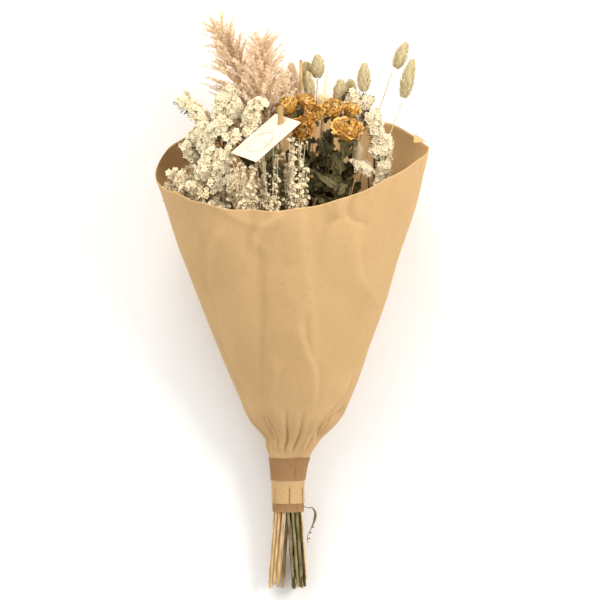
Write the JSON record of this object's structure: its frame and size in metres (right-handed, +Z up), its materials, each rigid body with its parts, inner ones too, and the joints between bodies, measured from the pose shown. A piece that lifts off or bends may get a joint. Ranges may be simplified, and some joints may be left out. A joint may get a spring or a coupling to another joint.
{
  "type": "dried flower bouquet",
  "caption": "Mixed dried flowers and grasses, gathered in a flared kraft paper cone that is taped at the stems, with a card on a wooden stick.",
  "frame": {"origin": "centre of the bounding box in X and Y, on the surface the bouquet lies on", "axes": "+Y from the cut stems to the flowers, +Z up from the surface, +X to the right as the card side is seen from above"},
  "size_m": [0.271, 0.5818, 0.1726],
  "materials": {
    "kraft_paper": "brown kraft paper, matt",
    "paper_tape": "brown paper tape, matt",
    "card": "cream card, uncoated",
    "bare_wood": "bare wood",
    "plume": "dried, pinkish beige, feathery",
    "straw": "dried, straw yellow",
    "sage_grain": "dried, pale sage green",
    "rose_petal": "dried, ochre yellow",
    "rose_green": "dried, dark grey green",
    "statice_stem": "dried, brown green",
    "statice_bloom": "dried, cream white",
    "broom_bloom": "dried, grey white"
  },
  "bodies": {
    "root": {"kraft_paper_wrap": "kraft_paper", "outer_tape": "paper_tape", "stem_binding": "paper_tape", "canary_grass_1": "sage_grain", "canary_grass_2": "sage_grain", "canary_grass_3": "sage_grain", "canary_grass_4": "sage_grain", "canary_grass_5": "sage_grain", "canary_grass_6": "sage_grain", "canary_grass_7": "sage_grain", "canary_grass_8": "sage_grain", "canary_grass_9": "sage_grain", "pampas_grass_1": "plume", "pampas_grass_2": "plume", "reed_plume": "plume", "foxtail_grass": "straw", "reed_stalk": "straw", "straw_tuft": "straw", "broom_bloom_1": "broom_bloom", "broom_bloom_2": "broom_bloom", "broom_bloom_3": "broom_bloom", "broom_bloom_4": "broom_bloom", "broom_bloom_5": "broom_bloom", "rose_stem_1": "rose_green", "rose_head_1": "rose_petal", "rose_stem_2": "rose_green", "rose_head_2": "rose_petal", "rose_stem_3": "rose_green", "rose_head_3": "rose_petal", "rose_stem_4": "rose_green", "rose_head_4": "rose_petal", "rose_stem_5": "rose_green", "rose_head_5": "rose_petal", "rose_stem_6": "rose_green", "rose_head_6": "rose_petal", "rose_stem_7": "rose_green", "rose_head_7": "rose_petal", "statice_stem_1": "statice_stem", "statice_head_1": "statice_bloom", "statice_stem_2": "statice_stem", "statice_head_2": "statice_bloom", "statice_stem_3": "statice_stem", "statice_head_3": "statice_bloom", "statice_stem_4": "statice_stem", "statice_head_4": "statice_bloom", "statice_stem_5": "statice_stem", "statice_head_5": "statice_bloom", "statice_stem_6": "statice_stem", "statice_head_6": "statice_bloom", "statice_stem_7": "statice_stem", "statice_head_7": "statice_bloom", "rose_leaf_1": "rose_green", "rose_leaf_2": "rose_green", "rose_leaf_3": "rose_green", "rose_leaf_4": "rose_green", "rose_leaf_5": "rose_green", "rose_leaf_6": "rose_green", "wooden_stick": "bare_wood", "card": "card"}
  },
  "joints": []
}
